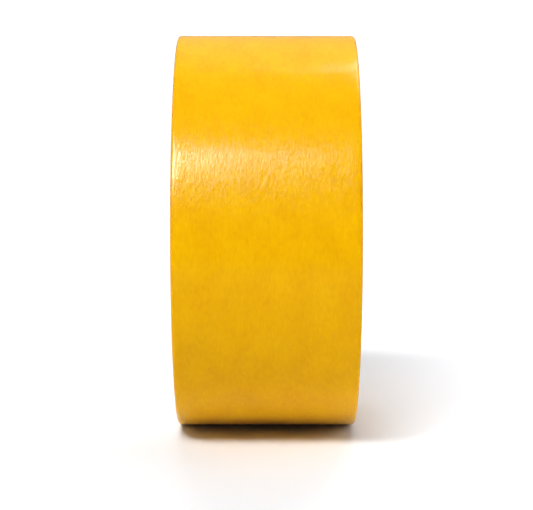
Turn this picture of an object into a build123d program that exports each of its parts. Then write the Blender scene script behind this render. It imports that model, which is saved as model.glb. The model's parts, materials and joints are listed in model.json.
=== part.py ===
"""A roll of washi masking tape, standing on its edge.

A spirally wound paper core carries one long strip of tape. The core is a liner, several structural
plies and a thin outer ply: each is a strip of paper wound as a helix, whose edges leave a narrow
slanting seam. The tape is a true Archimedean spiral. Its inner turns are one solid, its last turn is
a strip of the tape's real thickness, and the last stretch of that strip is the free end, which peels.

The frame, in millimetres: the origin is on the roll's axis at the middle of its width, +X runs along
the axis, +Y to the back and +Z up. Angles about the axis are counted from +Y towards +Z.
"""

from build123d import *

import os
from itertools import pairwise
from math import asin, ceil, cos, degrees, floor, pi, radians, sin, sqrt

# Driving dimensions: the tape.
TAPE_WIDTH = 50.0
TAPE_LENGTH = 50_000.0
TAPE_THICKNESS = 0.09  # backing and adhesive together, which is also the winding's pitch

# Driving dimensions: the core, from its bore outwards.
CORE_BORE = 76.0
LINER_THICKNESS = 0.3
PLY_THICKNESS = 0.5
PLY_COUNT = 5
OUTER_PLY_THICKNESS = 0.2
SEAM_GAP = 0.4  # between the two edges of a ply's strip
SEAM_LEAD = 110.0  # how far a ply travels along the axis in one turn
SEAM_STAGGER = 137.5  # degrees from one ply's seam to the next one's
FIRST_SEAM_ANGLE = 200.0  # of the liner's seam, at the middle of the width

# Driving dimensions: the free end, which lies on the upper back of the roll.
END_ANGLE = 28.0  # of the tape's cut edge
END_LENGTH = 26.0  # from the peel line to the cut edge
END_CLEARANCE = 0.03  # under the free end, and at the peel line
TURN_GAP = 0.002  # under the outer turn, so that its arcs never cross those of the turn below

# Driving dimensions: the flat that the roll's own weight presses where it stands.
REST_ANGLE = 270.0
FLAT_WIDTH = 5.0

ARCS_PER_TURN = 8

BORE_RADIUS = CORE_BORE / 2
CORE_RADIUS = BORE_RADIUS + LINER_THICKNESS + PLY_COUNT * PLY_THICKNESS + OUTER_PLY_THICKNESS
# The area of the tape's edge is that of the ring it fills.
ROLL_RADIUS = sqrt(CORE_RADIUS**2 + TAPE_LENGTH * TAPE_THICKNESS / pi)
TURN_COUNT = (ROLL_RADIUS - CORE_RADIUS) / TAPE_THICKNESS
TURN_LENGTH = 2 * pi * ROLL_RADIUS
END_TURNS = END_LENGTH / TURN_LENGTH
CLEARANCE_TURNS = END_CLEARANCE / TURN_LENGTH
REST_TURNS = (REST_ANGLE - END_ANGLE) / 360
HALF_FLAT_TURNS = asin(FLAT_WIDTH / 2 / ROLL_RADIUS) / (2 * pi)


def outer_radius(back):
    """Radius of the tape's outer face, a number of turns back from its cut edge."""
    return ROLL_RADIUS - TAPE_THICKNESS * back


def spiral_point(back, offset):
    """A point on the spiral, with offset measured outwards from the tape's outer face."""
    angle = radians(END_ANGLE) + 2 * pi * back
    radius = outer_radius(back) + offset
    return Vector(0, radius * cos(angle), radius * sin(angle))


def spiral_arcs(start, end, offset):
    """The spiral from start to end turns back from the cut edge, in arcs through three points each."""
    arc_count = ceil(ARCS_PER_TURN * (end - start))
    stops = [start + (end - start) * i / arc_count for i in range(arc_count + 1)]
    arcs = []
    for first, last in pairwise(stops):
        through = [spiral_point(back, offset) for back in (first, (first + last) / 2, last)]
        arcs.append(ThreePointArc(*through))
    return arcs


def spiral(start, end, offset):
    """The same stretch of the spiral, straight across the flat that the roll stands on."""
    flat_start = floor(start) + REST_TURNS - HALF_FLAT_TURNS
    flat_end = floor(start) + REST_TURNS + HALF_FLAT_TURNS
    if flat_end > end:
        return spiral_arcs(start, end, offset)
    flat = Line(spiral_point(flat_start, offset), spiral_point(flat_end, offset))
    return spiral_arcs(start, flat_start, offset) + [flat] + spiral_arcs(flat_end, end, offset)


def over_the_width(face):
    """The face, which lies on the roll's middle plane, as a solid as wide as the tape."""
    return extrude(face, amount=TAPE_WIDTH / 2, dir=(1, 0, 0), both=True)


def tape_strip(start, end, top, bottom):
    """A stretch of tape from start to end turns back from the cut edge, between two spirals."""
    cuts = [Line(spiral_point(back, top), spiral_point(back, bottom)) for back in (start, end)]
    return over_the_width(Face(Wire(spiral(start, end, top) + spiral(start, end, bottom) + cuts)))


def free_end():
    """The last stretch of the tape, which lifts off the roll, clear of it all round."""
    end = END_TURNS - CLEARANCE_TURNS
    return tape_strip(0, end, END_CLEARANCE, END_CLEARANCE - TAPE_THICKNESS)


def outer_turn():
    """The last full turn of the tape, less the free end."""
    return tape_strip(END_TURNS, 1, 0, TURN_GAP - TAPE_THICKNESS)


def wound_tape():
    """Every turn under the outer one, wound solid, with a step where the outer turn starts."""
    step = Line(spiral_point(1, 0), spiral_point(2, 0))
    disc = Face(Wire(spiral(1, 2, 0) + [step]))
    bore = Cylinder(CORE_RADIUS, 2 * TAPE_WIDTH, rotation=(0, 90, 0))
    return over_the_width(disc) - bore


def seam_slot(inner, outer, seam_angle):
    """The helical gap between the two edges of a ply's strip, a little longer and deeper than the ply."""
    length = TAPE_WIDTH + 2 * SEAM_GAP
    twist = 360 * length / SEAM_LEAD
    start = Plane(origin=(-length / 2, 0, 0), x_dir=(0, 1, 0), z_dir=(1, 0, 0))
    middle = (inner + outer) / 2
    depth = outer - inner + SEAM_GAP
    section = start * Rot(0, 0, seam_angle - twist / 2) * Pos(middle, 0) * Rectangle(depth, SEAM_GAP)
    return Solid.extrude_linear_with_rotation(
        section.face(), center=start.origin, normal=(length, 0, 0), angle=twist
    )


def core_ply(inner, thickness, seam_angle):
    """One ply of the core: a paper strip wound once round, with its seam."""
    outer = inner + thickness
    tube = Cylinder(outer, TAPE_WIDTH, rotation=(0, 90, 0))
    hole = Cylinder(inner, 2 * TAPE_WIDTH, rotation=(0, 90, 0))
    return tube - hole - seam_slot(inner, outer, seam_angle)


def core_plies():
    """Every ply by name, from the bore outwards, each with its seam staggered from the last one's."""
    names = ["core_inner_liner"]
    names += [f"core_ply_{i + 1}" for i in range(PLY_COUNT)]
    names += ["core_outer_ply"]
    thicknesses = [LINER_THICKNESS] + [PLY_THICKNESS] * PLY_COUNT + [OUTER_PLY_THICKNESS]
    plies = {}
    inner = BORE_RADIUS
    for i, (name, thickness) in enumerate(zip(names, thicknesses)):
        plies[name] = core_ply(inner, thickness, FIRST_SEAM_ANGLE + i * SEAM_STAGGER)
        inner += thickness
    return plies


def report_facts():
    """Prints the sizes worked out above and the peel line."""
    hinge = spiral_point(END_TURNS, END_CLEARANCE)
    print(f"core radius {CORE_RADIUS:.3f}, roll radius {ROLL_RADIUS:.3f}, turns {TURN_COUNT:.1f}")
    print(f"peel line at y {hinge.Y:.4f}, z {hinge.Z:.4f}")
    print(f"the free end covers {degrees(2 * pi * END_TURNS):.2f} degrees")


def main():
    os.makedirs("parts", exist_ok=True)
    parts = core_plies()
    parts["wound_tape"] = wound_tape()
    parts["outer_turn"] = outer_turn()
    parts["free_end"] = free_end()
    for name, shape in parts.items():
        export_step(shape, f"parts/{name}.step")
    report_facts()


main()
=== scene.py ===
"""The looks of a roll of washi masking tape, standing on its edge on a pale floor.

The roll's axis runs along X. Angles about it are counted from +Y towards +Z, as in the record. A point
on the tape is given by x, across its width, and by how far back it lies from the tape's cut edge, in
turns. Its UV map holds the same two, in metres.
"""

import json
import math
from itertools import pairwise

import bpy
import numpy as np
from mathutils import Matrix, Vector


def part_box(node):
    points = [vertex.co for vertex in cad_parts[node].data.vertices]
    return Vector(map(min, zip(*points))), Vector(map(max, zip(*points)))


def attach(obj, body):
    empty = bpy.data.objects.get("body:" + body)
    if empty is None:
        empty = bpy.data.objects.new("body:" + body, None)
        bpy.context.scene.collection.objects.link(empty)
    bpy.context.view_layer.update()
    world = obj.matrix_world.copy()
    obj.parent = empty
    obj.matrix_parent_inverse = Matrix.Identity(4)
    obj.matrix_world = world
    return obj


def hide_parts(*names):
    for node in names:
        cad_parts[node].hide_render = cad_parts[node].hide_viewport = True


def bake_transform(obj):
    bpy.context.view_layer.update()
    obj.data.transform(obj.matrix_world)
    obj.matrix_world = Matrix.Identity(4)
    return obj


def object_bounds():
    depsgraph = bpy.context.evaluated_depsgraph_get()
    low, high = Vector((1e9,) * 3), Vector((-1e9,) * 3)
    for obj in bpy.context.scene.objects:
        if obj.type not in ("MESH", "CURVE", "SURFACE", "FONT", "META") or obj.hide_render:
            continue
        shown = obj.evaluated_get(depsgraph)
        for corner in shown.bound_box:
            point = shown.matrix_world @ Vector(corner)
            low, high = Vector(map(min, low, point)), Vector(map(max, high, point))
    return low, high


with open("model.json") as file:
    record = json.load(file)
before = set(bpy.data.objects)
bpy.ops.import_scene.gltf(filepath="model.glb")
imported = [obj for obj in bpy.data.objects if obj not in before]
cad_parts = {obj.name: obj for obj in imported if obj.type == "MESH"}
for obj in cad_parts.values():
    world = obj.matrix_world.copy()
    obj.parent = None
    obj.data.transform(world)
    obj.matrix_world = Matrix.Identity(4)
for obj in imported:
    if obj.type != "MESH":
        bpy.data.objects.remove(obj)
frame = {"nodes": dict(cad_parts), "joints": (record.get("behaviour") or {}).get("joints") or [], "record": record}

CAD_LOW, CAD_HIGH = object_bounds()
MM = 0.001

# The tape, as the record and the CAD nodes have it.
TAPE_THICKNESS = 0.09 * MM
END_CLEARANCE = 0.03 * MM  # under the free end
HALF_WIDTH = CAD_HIGH.x
PEEL_POINT = Vector(frame["joints"][0]["pos_m"])
PEEL_ANGLE = math.atan2(PEEL_POINT.z, PEEL_POINT.y)
CUT_ANGLE = math.atan2(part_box("free_end")[0].z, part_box("free_end")[1].y)
END_TURNS = (PEEL_ANGLE - CUT_ANGLE) / (2 * math.pi)
PEEL_RADIUS = math.hypot(PEEL_POINT.y, PEEL_POINT.z) - END_CLEARANCE
ROLL_RADIUS = PEEL_RADIUS + TAPE_THICKNESS * END_TURNS
TURN_LENGTH = 2 * math.pi * ROLL_RADIUS

# The core: its plies are strips of paper wound as helixes, with a seam between each strip's edges.
BORE_RADIUS = frame["record"]["mounts"][0]["dims"]["r_mm"] * MM
SEAM_GAP = 0.4 * MM
SEAM_LEAD = 110 * MM  # how far a ply travels along the axis in one turn
FIRST_SEAM_ANGLE = 200.0  # in degrees, half way across the roll
SEAM_STAGGER = 137.5  # in degrees, from one ply's seam to the next one's

# How the real roll departs from the CAD solids, always inwards.
SHOULDER_WIDTH = 1.0 * MM
SHOULDER_DEPTH = 0.8 * MM
STRIP_EDGE = 0.96  # how far across the shoulder the outer turn reaches
GAUGE_BAND_DEPTH = 0.03 * MM  # of the faint ridges round the tread
SIDE_RELIEF = 0.10 * MM  # of the turns' edges on the sides
SIDE_WAVES = 9  # that the relief is made of
RIM_INSET = 0.06 * MM  # of a ply's rims, at the most
RIM_CHAMFER = 0.22  # of a ply's rims, as a share of its thickness
RIM_WANDER = 0.02 * MM  # of a ply's rims in and out, round the core
RIM_WAVES = 7

# The free end: how its cut edge stands off the roll, and the strip that bends when it is lifted.
CUT_LIFT = 0.30 * MM
CORNER_LIFT = 0.35 * MM  # of one corner, on top of that
LIFT_LENGTH = 9 * MM

# How finely the meshes are divided.
STRIP_MIDDLE_POINTS = 26
STRIP_SHOULDER_POINTS = 9
OUTER_TURN_ROWS = 380
FREE_END_ROWS = 90
TURNS_ROWS = 400
TURNS_SIDE_POINTS = 46
TURNS_SHOULDER_POINTS = 12
TURNS_MIDDLE_POINTS = 20
PLY_COLUMNS = 200
LINER_STATIONS = 60
BOARD_STATIONS = 36
SHARP_ANGLE = math.radians(40)

# The stage.
FLOOR_WHITE = (0.785, 0.80, 0.83)
FLOOR_RADIUS = 0.27
FLOOR_SIDES = 96
FRONT_GLOW, BACK_GLOW, SIDE_GLOW = 0.04, 0.34, 0.30
SEEN_WHITE = 1.1  # the background as the camera sees it, as bright as the floor
LIGHT_DISTANCE = 2.0

# The camera: a long lens, in front of the tread and a little above it.
CAMERA_DISTANCE = 9.585 * ROLL_RADIUS
CAMERA_ELEVATION = math.radians(6.3)
CAMERA_LENS = 125.2
CAMERA_SENSOR = 36
AIM = Vector((0, 0, -7.1 * MM))


# ---------------------------------------------------------------- meshes


def mesh_piece(name, points, faces, uvs, materials, face_materials=None):
    """A smooth-shaded mesh object. There is one UV for each point; sharp edges are left by angle."""
    mesh = bpy.data.meshes.new(name)
    mesh.from_pydata([tuple(p) for p in points], [], faces)
    layer = mesh.uv_layers.new(name="Tape")
    corners = np.empty(len(mesh.loops), np.int32)
    mesh.loops.foreach_get("vertex_index", corners)
    layer.data.foreach_set("uv", np.asarray(uvs, np.float32)[corners].ravel())
    for material in materials:
        mesh.materials.append(material)
    if face_materials is not None:
        mesh.polygons.foreach_set("material_index", np.asarray(face_materials, np.int32))
    mesh.shade_smooth()
    mesh.set_sharp_from_angle(angle=SHARP_ANGLE)
    mesh.update()
    piece = bpy.data.objects.new(name, mesh)
    bpy.context.scene.collection.objects.link(piece)
    return piece


def grid_faces(rows, columns, closed_columns):
    """Quads over a grid of points, stored row by row, optionally joined from last column to first."""
    faces = []
    for i in range(rows - 1):
        for j in range(columns if closed_columns else columns - 1):
            k = (j + 1) % columns
            faces.append((i * columns + j, i * columns + k, (i + 1) * columns + k, (i + 1) * columns + j))
    return faces


def joining_wall(line, offset, flipped):
    """Quads from a line of points on one sheet to the same line on another, offset points later."""
    quads = [(a, b, b + offset, a + offset) for a, b in pairwise(line)]
    return [quad[::-1] for quad in quads] if flipped else quads


def tape_uvs(across, back):
    """UVs for points that all lie the same number of turns back."""
    return np.stack([across, np.full_like(across, back * TURN_LENGTH)], axis=-1)


def shoulder_drop(x):
    """How far the tread falls away at x, in a quarter of an ellipse at each side."""
    across = np.clip((np.abs(x) - (HALF_WIDTH - SHOULDER_WIDTH)) / SHOULDER_WIDTH, 0, 1)
    return SHOULDER_DEPTH * (1 - np.sqrt(1 - across**2))


def gauge_bands(x):
    """The faint ridges round the tread that come of uneven thickness across the tape."""
    wave = 0.5 + 0.28 * np.sin(x / (3.1 * MM) + 0.6) + 0.22 * np.sin(x / (7.7 * MM) + 2.0)
    return GAUGE_BAND_DEPTH * wave


def tread_depth(x):
    """How deep the tread lies at x under the CAD's outer face."""
    return shoulder_drop(x) + gauge_bands(x)


def side_relief(radius, angle, seed):
    """How far in from flush the turns' edges lie on one side of the roll."""
    draw = np.random.default_rng(seed)
    total = np.zeros(np.broadcast(radius, angle).shape)
    for _ in range(SIDE_WAVES):
        wavelength = draw.uniform(0.9, 5.0) * MM
        phase, sway, lobes = draw.uniform(0, 6.28), draw.uniform(0.2, 1.2), draw.integers(1, 4)
        swayed = phase + sway * np.sin(lobes * angle + draw.uniform(0, 6.28))
        total = total + np.sin(2 * math.pi * radius / wavelength + swayed)
    return SIDE_RELIEF * (0.5 + 0.5 * np.tanh(total / 3))


def on_roll(x, back, depth):
    """Points at x, that many turns back and that deep under the outer face, kept off the floor."""
    angle = CUT_ANGLE + 2 * math.pi * back
    radius = ROLL_RADIUS - TAPE_THICKNESS * back - depth
    z = np.maximum(radius * np.sin(angle), CAD_LOW.z + depth)
    return np.stack(np.broadcast_arrays(x, radius * np.cos(angle), z), axis=-1)


def tread_stations():
    """Places across the tread, closer together on the shoulders."""
    edge = HALF_WIDTH - SHOULDER_WIDTH * (1 - STRIP_EDGE)
    flat = HALF_WIDTH - SHOULDER_WIDTH
    turn = np.sin(np.linspace(0, math.pi / 2, STRIP_SHOULDER_POINTS))
    right = flat + (edge - flat) * turn
    middle = np.linspace(-flat, flat, STRIP_MIDDLE_POINTS)
    return np.concatenate([-right[::-1], middle[1:-1], right])


def no_lift(xs, back):
    """The outer turn lies flat on the roll all the way."""
    return np.zeros_like(xs)


def end_lift(xs, back):
    """The free end's cut edge stands off the roll a little, and more at one corner."""
    near = max(0.0, 1 - back * TURN_LENGTH / LIFT_LENGTH)
    towards_corner = (xs + HALF_WIDTH) / (2 * HALF_WIDTH)
    return CUT_LIFT * near**2 + CORNER_LIFT * near**3 * towards_corner**4


def tape_strip(name, start, end, rows, lift, materials):
    """A stretch of tape at its true thickness: its outer face, its adhesive face and four cut sides."""
    xs = tread_stations()
    points, uvs = [], []
    for back in np.linspace(start, end, rows):
        depth = tread_depth(xs) - lift(xs, back)
        top = on_roll(xs, back, depth)
        bottom = on_roll(xs, back, depth + TAPE_THICKNESS)
        points += [top, bottom[::-1]]
        uvs.append(tape_uvs(np.concatenate([xs, xs[::-1]]), back))
    ring = 2 * len(xs)
    faces = grid_faces(rows, ring, closed_columns=True)
    faces.append(tuple(range(ring))[::-1])
    faces.append(tuple(range((rows - 1) * ring, rows * ring)))
    paper, adhesive_side = 0, 1
    kinds = ([paper] * len(xs) + [adhesive_side] * len(xs)) * (rows - 1) + [paper, paper]
    return mesh_piece(name, np.concatenate(points), faces, np.concatenate(uvs), materials, kinds)


def wound_turns(materials):
    """Every turn under the outer one: the sides, the shoulders, and the tread that the free end bares."""
    core_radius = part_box("core_outer_ply")[1].y
    shoulder_foot = ROLL_RADIUS - 1.25 * SHOULDER_DEPTH
    side = np.linspace(core_radius, shoulder_foot, TURNS_SIDE_POINTS)
    # The shoulder's ellipse starts just short of its end, where it would be vertical.
    shoulder = HALF_WIDTH - SHOULDER_WIDTH * (1 - np.linspace(0.995, 0.0, TURNS_SHOULDER_POINTS))
    middle = np.linspace(shoulder[-1], -shoulder[-1], TURNS_MIDDLE_POINTS)[1:-1]
    xs = np.concatenate([shoulder, middle, -shoulder[::-1]])
    # The last row stops just short of the first one's angle, at the step where the outer turn starts.
    backs = 1 + np.append(np.linspace(0, 1, TURNS_ROWS)[:-1], 1 - 1e-5)
    points, uvs = [], []
    for back in backs:
        angle = CUT_ANGLE + 2 * math.pi * back
        right = HALF_WIDTH - side_relief(side, angle, seed=3)
        left = -HALF_WIDTH + side_relief(side, angle, seed=8)
        depth = ROLL_RADIUS - TAPE_THICKNESS * back - side
        points += [
            on_roll(right, back, depth),
            on_roll(xs, back, tread_depth(xs)),
            on_roll(left, back, depth)[::-1],
        ]
        uvs.append(tape_uvs(np.concatenate([right, xs, left[::-1]]), back))
    ring = 2 * len(side) + len(xs)
    faces = grid_faces(TURNS_ROWS, ring, closed_columns=True)
    last = (TURNS_ROWS - 1) * ring
    for j in range(ring):
        k = (j + 1) % ring
        faces.append((last + j, last + k, k, j))
    paper, edges = 0, 1
    kinds = [edges] * ring
    kinds[len(side) : len(side) + len(xs) - 1] = [paper] * (len(xs) - 1)
    kinds = kinds * TURNS_ROWS
    return mesh_piece("tape_turns", np.concatenate(points), faces, np.concatenate(uvs), materials, kinds)


def core_ply(node, inner, outer, seam_angle, stations, material):
    """One paper ply as a tube split by its helical seam, with a slightly uneven, softened rim."""
    draw = np.random.default_rng(len(node) + int(inner * 1e6))
    span = HALF_WIDTH - RIM_INSET * draw.uniform(0.3, 1.0)
    chamfer = RIM_CHAMFER * (outer - inner)
    near_rim = np.array([0, 0.4 * chamfer, chamfer])
    between = np.linspace(-span, span, stations)[1:-1]
    xs = np.concatenate([-span + near_rim, between, span - near_rim[::-1]])
    from_rim = np.minimum(1, (span - np.abs(xs)) / chamfer)
    pulls = chamfer * (1 - np.sqrt(1 - (1 - from_rim) ** 2))
    half_gap = SEAM_GAP / 2 / inner
    own_phase = inner * 9e5
    points, uvs = [], []
    for radius, inwards in ((inner, 1), (outer, -1)):
        for x, pull in zip(xs, pulls):
            start = seam_angle + 2 * math.pi * x / SEAM_LEAD
            angles = start + np.linspace(half_gap, 2 * math.pi - half_gap, PLY_COLUMNS)
            at_rim = (abs(x) > span - 2 * chamfer) * np.sign(x)
            wander = RIM_WANDER * np.sin(RIM_WAVES * angles + own_phase) * at_rim
            r = radius + inwards * pull
            points.append(np.stack([x - wander, r * np.cos(angles), r * np.sin(angles)], axis=-1))
            uvs.append(np.stack([np.full(PLY_COLUMNS, x), (angles - seam_angle) * inner], axis=-1))
    rows = len(xs)
    sheet_points = rows * PLY_COLUMNS
    sheet = grid_faces(rows, PLY_COLUMNS, closed_columns=False)
    faces = [face[::-1] for face in sheet]
    faces += [tuple(v + sheet_points for v in face) for face in sheet]
    for i in (0, rows - 1):
        row = range(i * PLY_COLUMNS, (i + 1) * PLY_COLUMNS)
        faces += joining_wall(row, sheet_points, flipped=i > 0)
    for j in (0, PLY_COLUMNS - 1):
        column = range(j, sheet_points, PLY_COLUMNS)
        faces += joining_wall(column, sheet_points, flipped=j == 0)
    return mesh_piece(node + "_paper", np.concatenate(points), faces, np.concatenate(uvs), [material])


# ---------------------------------------------------------------- shader nodes


class Nodes:
    """A node tree. The calls below add nodes to it and return their output sockets."""

    def __init__(self, tree):
        self.nodes = tree.nodes
        self.links = tree.links

    def add(self, kind, inputs, output=0, **settings):
        """A node with its inputs set, by name or index, to values or to other nodes' sockets."""
        made = self.nodes.new("ShaderNode" + kind)
        for key, setting in settings.items():
            setattr(made, key, setting)
        for key, source in inputs.items():
            if isinstance(source, bpy.types.NodeSocket):
                self.links.new(source, made.inputs[key])
            else:
                made.inputs[key].default_value = source
        return made.outputs[output]

    def math(self, operation, a, b=0.0):
        return self.add("Math", {0: a, 1: b}, operation=operation)

    def weighted(self, parts, offset=0.0):
        """The offset plus each socket times its weight."""
        total = offset
        for source, weight in parts:
            total = self.add("Math", {0: source, 1: weight, 2: total}, operation="MULTIPLY_ADD")
        return total

    def scaled(self, vector, factor):
        return self.add("VectorMath", {0: vector, "Scale": factor}, operation="SCALE")

    def stretched(self, vector, scale, turn=0.0):
        """A vector turned in its own plane, in degrees, then scaled."""
        inputs = {"Vector": vector, "Angle": math.radians(turn)}
        turned = self.add("VectorRotate", inputs, rotation_type="Z_AXIS")
        return self.add("VectorMath", {0: turned, 1: scale}, operation="MULTIPLY")

    def noise(self, vector, detail=3.0, rough=0.55, distortion=0.0):
        inputs = {"Vector": vector, "Scale": 1.0, "Detail": detail}
        inputs |= {"Roughness": rough, "Distortion": distortion}
        return self.add("TexNoise", inputs)

    def spread(self, factor, low, high, to_low, to_high, **settings):
        """The factor's range from low to high, mapped to another range and held there outside it."""
        inputs = {"Value": factor, "From Min": low, "From Max": high, "To Min": to_low, "To Max": to_high}
        return self.add("MapRange", inputs, **settings)

    def ramp(self, factor, low, high, dark, light):
        """A colour from dark to light as the factor goes from low to high."""
        made = self.nodes.new("ShaderNodeValToRGB")
        for element, position, color in zip(made.color_ramp.elements, (low, high), (dark, light)):
            element.position = position
            element.color = (*color, 1)
        self.links.new(factor, made.inputs[0])
        return made.outputs[0]

    def mix(self, factor, color, other):
        """The colour from a socket, mixed with a fixed other one."""
        made = self.nodes.new("ShaderNodeMix")
        made.data_type = "RGBA"
        factor_input, color_input, other_input = made.inputs[0], made.inputs[6], made.inputs[7]
        self.links.new(factor, factor_input)
        self.links.new(color, color_input)
        other_input.default_value = (*other, 1)
        return made.outputs[2]

    def bumps(self, layers):
        """A normal with bumps from each height socket, that deep, one over the other."""
        normal = None
        for height, depth in layers:
            inputs = {"Height": height, "Distance": depth, "Strength": 1.0}
            if normal is not None:
                inputs["Normal"] = normal
            normal = self.add("Bump", inputs)
        return normal


class Material(Nodes):
    """A material's node tree, with its surface shader."""

    def __init__(self, name):
        self.material = bpy.data.materials.new(name)
        self.material.use_nodes = True
        super().__init__(self.material.node_tree)
        self.surface = self.nodes["Principled BSDF"]

    def finish(self, color, roughness, normal, **fixed):
        """Links the patterned inputs of the surface and sets its other ones."""
        self.links.new(color, self.surface.inputs["Base Color"])
        self.links.new(roughness, self.surface.inputs["Roughness"])
        self.links.new(normal, self.surface.inputs["Normal"])
        for key, setting in fixed.items():
            self.surface.inputs[key.replace("_", " ")].default_value = setting
        return self.material


# ---------------------------------------------------------------- materials


def tape_millimetres(m):
    """The tape's own coordinates: x across it, and the length back from the cut edge, in millimetres."""
    return m.scaled(m.add("UVMap", {}, uv_map="Tape"), 1 / MM)


def paper_fibre(m, tape):
    """The washi paper's fibres, which run along the tape."""
    return m.noise(m.stretched(tape, (2.6, 0.5, 1)), detail=4, rough=0.6, distortion=0.5)


def washi_paper():
    """The tape's backing: thin golden fibrous paper with a satin finish, a little crinkled."""
    m = Material("washi_paper")
    tape = tape_millimetres(m)
    mottle = m.noise(m.stretched(tape, (0.16, 0.09, 1)), detail=4)
    cloud = m.noise(m.stretched(tape, (0.9, 0.45, 1)), detail=4, rough=0.6)
    fibre = paper_fibre(m, tape)
    crossed = m.noise(m.stretched(tape, (1.25, 0.5, 1), turn=-24), detail=2, distortion=0.6)
    grain = m.noise(m.stretched(tape, (8.0, 5.0, 1)), detail=2)
    crinkle = m.weighted([(fibre, 0.4), (crossed, 0.6)])
    off_middle = m.math("ABSOLUTE", m.math("SUBTRACT", crossed, 0.5))
    thread = m.spread(off_middle, 0.0, 0.03, 1.0, 0.0)

    tone = m.weighted([(mottle, 0.9), (cloud, 0.8), (fibre, 0.9), (thread, 0.04)], offset=-0.8)
    color = m.ramp(tone, 0.15, 0.85, dark=(0.79, 0.367, 0.0003), light=(0.885, 0.478, 0.0008))
    across = m.math("ABSOLUTE", m.add("SeparateXYZ", {0: tape}))
    edge = HALF_WIDTH / MM
    rim = m.spread(across, edge - 0.5, edge - 0.05, 0.0, 0.5)
    color = m.mix(rim, color, (0.72, 0.27, 0.001))

    roughness = m.spread(crinkle, 0.42, 0.58, 0.25, 0.11)
    normal = m.bumps([(crossed, 0.048 * MM), (fibre, 0.020 * MM), (grain, 0.002 * MM)])
    haze = {"Sheen_Weight": 0.065, "Sheen_Roughness": 0.4}
    return m.finish(color, roughness, normal, Specular_IOR_Level=0.05, **haze)


def adhesive():
    """The tape's other face: the same paper under a clear, slightly glossy coat of adhesive."""
    m = Material("adhesive")
    tape = tape_millimetres(m)
    cloud = m.noise(m.stretched(tape, (0.5, 0.3, 1)), detail=4)
    fibre = paper_fibre(m, tape)
    dimple = m.noise(m.stretched(tape, (3.5, 3.5, 1)), detail=2)
    tone = m.weighted([(cloud, 0.5), (fibre, 0.5)])
    color = m.ramp(tone, 0.35, 0.65, dark=(0.70, 0.40, 0.035), light=(0.84, 0.53, 0.075))
    roughness = m.spread(dimple, 0.3, 0.7, 0.22, 0.38)
    normal = m.bumps([(dimple, 0.03 * MM)])
    return m.finish(color, roughness, normal, Specular_IOR_Level=0.5)


def tape_edges():
    """The roll's sides: the slit edges of many turns, deeper in colour, with fine rings."""
    m = Material("tape_edges")
    place = m.scaled(m.add("TexCoord", {}, output="Object"), 1 / MM)
    radial = m.add("VectorMath", {0: place, 1: (0, 1, 1)}, operation="MULTIPLY")
    radius = m.add("VectorMath", {0: radial}, output="Value", operation="LENGTH")
    around = m.scaled(radial, 0.02)

    def rings(per_mm, sway):
        """Noise in rings: fine along the radius and slow around the roll."""
        along = m.add("CombineXYZ", {0: m.math("MULTIPLY", radius, per_mm)})
        return m.noise(m.add("VectorMath", {0: m.scaled(around, sway), 1: along}), detail=2)

    fine, middling, broad = rings(6.0, 3.0), rings(1.9, 1.5), rings(0.45, 1.0)
    speck = m.noise(m.stretched(radial, (3.0, 3.0, 3.0)), detail=3)
    tone = m.weighted([(fine, 0.40), (middling, 0.30), (broad, 0.20), (speck, 0.10)])
    color = m.ramp(tone, 0.36, 0.64, dark=(0.56, 0.225, 0.002), light=(0.86, 0.455, 0.008))
    roughness = m.spread(middling, 0.3, 0.7, 0.38, 0.55)
    normal = m.bumps([(fine, 0.05 * MM), (middling, 0.06 * MM), (speck, 0.02 * MM)])
    return m.finish(color, roughness, normal, Specular_IOR_Level=0.15)


def kraft(name, dark, light, shift):
    """Core paper: brown recycled kraft with fibres along the strip and a few darker flecks."""
    m = Material(name)
    sheet = m.add("VectorMath", {0: tape_millimetres(m), 1: (shift, 0, 0)})
    cloud = m.noise(m.stretched(sheet, (0.12, 0.12, 1)), detail=3)
    fibre = m.noise(m.stretched(sheet, (0.6, 3.2, 1), turn=65), detail=4, rough=0.65, distortion=0.4)
    crossing = m.noise(m.stretched(sheet, (3.4, 0.8, 1), turn=20), detail=3, distortion=0.4)
    fleck = m.noise(m.stretched(sheet, (1.6, 2.4, 1)), detail=2)
    tone = m.weighted([(fibre, 0.45), (crossing, 0.35), (cloud, 0.20)])
    color = m.ramp(tone, 0.36, 0.64, dark=dark, light=light)
    color = m.mix(m.spread(fleck, 0.68, 0.76, 0.0, 0.5), color, (0.16, 0.09, 0.045))
    roughness = m.spread(fibre, 0.3, 0.7, 0.72, 0.9)
    normal = m.bumps([(fibre, 0.07 * MM), (crossing, 0.03 * MM)])
    return m.finish(color, roughness, normal, Specular_IOR_Level=0.25)


# ---------------------------------------------------------------- the roll


def build_core():
    """Every ply of the core, from the bore outwards, each riding on the roll for its CAD node."""
    nodes = ["core_inner_liner"]
    nodes += sorted(n for n in frame["nodes"] if n.startswith("core_ply"))
    nodes += ["core_outer_ply"]
    liner = kraft("core_liner_paper", (0.42, 0.28, 0.15), (0.66, 0.48, 0.29), shift=0)
    boards = [
        kraft("core_board_a", (0.37, 0.24, 0.12), (0.56, 0.39, 0.22), shift=40),
        kraft("core_board_b", (0.27, 0.17, 0.09), (0.44, 0.30, 0.17), shift=90),
    ]
    inner = BORE_RADIUS
    for i, node in enumerate(nodes):
        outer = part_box(node)[1].y
        seam_angle = math.radians(FIRST_SEAM_ANGLE + SEAM_STAGGER * i)
        is_liner = node == "core_inner_liner"
        material = liner if is_liner else boards[i % 2]
        stations = LINER_STATIONS if is_liner else BOARD_STATIONS
        ply = core_ply(node, inner, outer, seam_angle, stations, material)
        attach(ply, "roll")
        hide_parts(node)
        inner = outer


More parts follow.
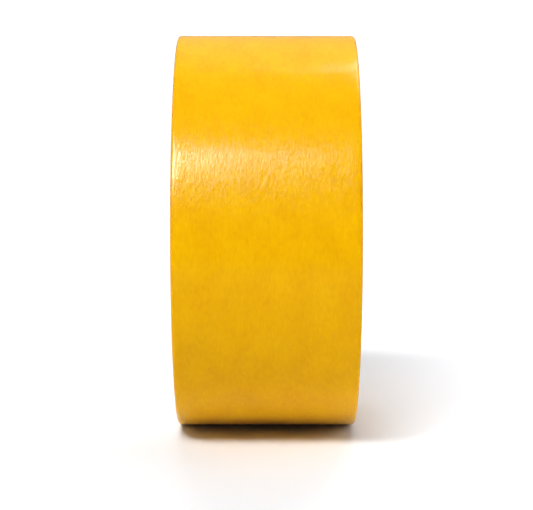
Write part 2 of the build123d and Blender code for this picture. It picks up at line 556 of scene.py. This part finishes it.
def build_tape():
    """The wound turns, the outer turn, and the free end, whose cut edge stands a little off the roll."""
    washi, glue, edges = washi_paper(), adhesive(), tape_edges()
    turns = wound_turns([washi, edges])
    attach(turns, "roll")
    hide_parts("wound_tape")
    outer = tape_strip("tape_outer_turn", END_TURNS, 1.0, OUTER_TURN_ROWS, no_lift, [washi, glue])
    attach(outer, "roll")
    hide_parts("outer_turn")
    end = tape_strip("tape_free_end", 0.0, END_TURNS, FREE_END_ROWS, end_lift, [washi, glue])
    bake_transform(end)
    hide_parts("free_end")


# ---------------------------------------------------------------- the stage


def build_floor():
    """A plain, round, nearly white floor at the height that the roll stands on."""
    m = Material("floor_white")
    m.surface.inputs["Base Color"].default_value = (*FLOOR_WHITE, 1)
    m.surface.inputs["Roughness"].default_value = 0.9
    m.surface.inputs["Specular IOR Level"].default_value = 0.0
    turns = [2 * math.pi * i / FLOOR_SIDES for i in range(FLOOR_SIDES)]
    rim = [(FLOOR_RADIUS * math.cos(t), FLOOR_RADIUS * math.sin(t), CAD_LOW.z) for t in turns]
    uvs = [(0, 0)] * FLOOR_SIDES
    floor = mesh_piece("floor", rim, [tuple(range(FLOOR_SIDES))], uvs, [m.material])


def build_world():
    """Soft white light from behind, above and the sides, a darker room in front, a white background."""
    world = bpy.data.worlds.new("studio")
    bpy.context.scene.world = world
    world.use_nodes = True
    sky = Nodes(world.node_tree)
    white = (1, 1, 1, 1)
    smooth = {"interpolation_type": "SMOOTHSTEP"}
    direction = sky.add("TexCoord", {}, output="Generated")
    backward = sky.add("SeparateXYZ", {0: direction}, output="Y")
    aside = sky.math("ABSOLUTE", sky.add("SeparateXYZ", {0: direction}, output="X"))
    behind = sky.spread(backward, -0.6, 0.2, FRONT_GLOW, BACK_GLOW, **smooth)
    sides = sky.spread(aside, 0.3, 0.9, 0.0, SIDE_GLOW, **smooth)
    light = sky.nodes["Background"]
    light.inputs["Color"].default_value = white
    sky.links.new(sky.math("ADD", behind, sides), light.inputs["Strength"])
    seen = sky.add("Background", {"Color": white, "Strength": SEEN_WHITE})
    by_camera = sky.add("LightPath", {}, output="Is Camera Ray")
    both = sky.add("MixShader", {0: by_camera, 1: light.outputs[0], 2: seen})
    sky.links.new(both, sky.nodes["World Output"].inputs["Surface"])


def softbox(name, azimuth, elevation, width, height, brightness, only_shine=False):
    """A soft rectangular light aimed at the roll: one that lights it, or one only seen in its gloss.

    Azimuth runs from the front towards the right, in degrees; width and height are the angles it fills.
    """
    azimuth, elevation = math.radians(azimuth), math.radians(elevation)
    level = math.cos(elevation)
    towards = Vector((level * math.sin(azimuth), -level * math.cos(azimuth), math.sin(elevation)))
    data = bpy.data.lights.new(name, "AREA")
    data.shape = "RECTANGLE"
    data.size = 2 * LIGHT_DISTANCE * math.tan(math.radians(width / 2))
    data.size_y = 2 * LIGHT_DISTANCE * math.tan(math.radians(height / 2))
    data.energy = brightness * 4 * math.pi * LIGHT_DISTANCE**2
    lamp = bpy.data.objects.new(name, data)
    lamp.location = LIGHT_DISTANCE * towards
    lamp.rotation_mode = "QUATERNION"
    lamp.rotation_quaternion = towards.to_track_quat("Z", "Y")
    lamp.visible_glossy = only_shine
    lamp.visible_diffuse = not only_shine
    bpy.context.scene.collection.objects.link(lamp)


def build_lights():
    """The key light, one from behind and a fill, and two that give the paper its shine."""
    softbox("front_left", azimuth=-19, elevation=50, width=24, height=12, brightness=0.765)
    softbox("back_right", azimuth=174, elevation=42, width=36, height=30, brightness=0.52)
    softbox("right_fill", azimuth=100, elevation=25, width=50, height=40, brightness=0.20)
    shine = {"only_shine": True}
    softbox("front_left_shine", azimuth=-29, elevation=41.5, width=30, height=24, brightness=11.0, **shine)
    softbox("back_right_shine", azimuth=138, elevation=61, width=26, height=20, brightness=1.0, **shine)


def build_camera():
    """A camera in front of the tread, a little above it, aimed just below the roll's middle."""
    data = bpy.data.cameras.new("camera")
    data.sensor_width = CAMERA_SENSOR
    data.lens = CAMERA_LENS
    camera = bpy.data.objects.new("camera", data)
    back = CAMERA_DISTANCE * math.cos(CAMERA_ELEVATION)
    height = CAMERA_DISTANCE * math.sin(CAMERA_ELEVATION)
    camera.location = (0, -back, height)
    camera.rotation_mode = "QUATERNION"
    camera.rotation_quaternion = (camera.location - AIM).to_track_quat("Z", "Y")
    bpy.context.scene.collection.objects.link(camera)
    bpy.context.scene.camera = camera


build_core()
build_tape()
build_floor()
build_world()
build_lights()
build_camera()
bpy.context.scene.view_settings.view_transform = "Standard"
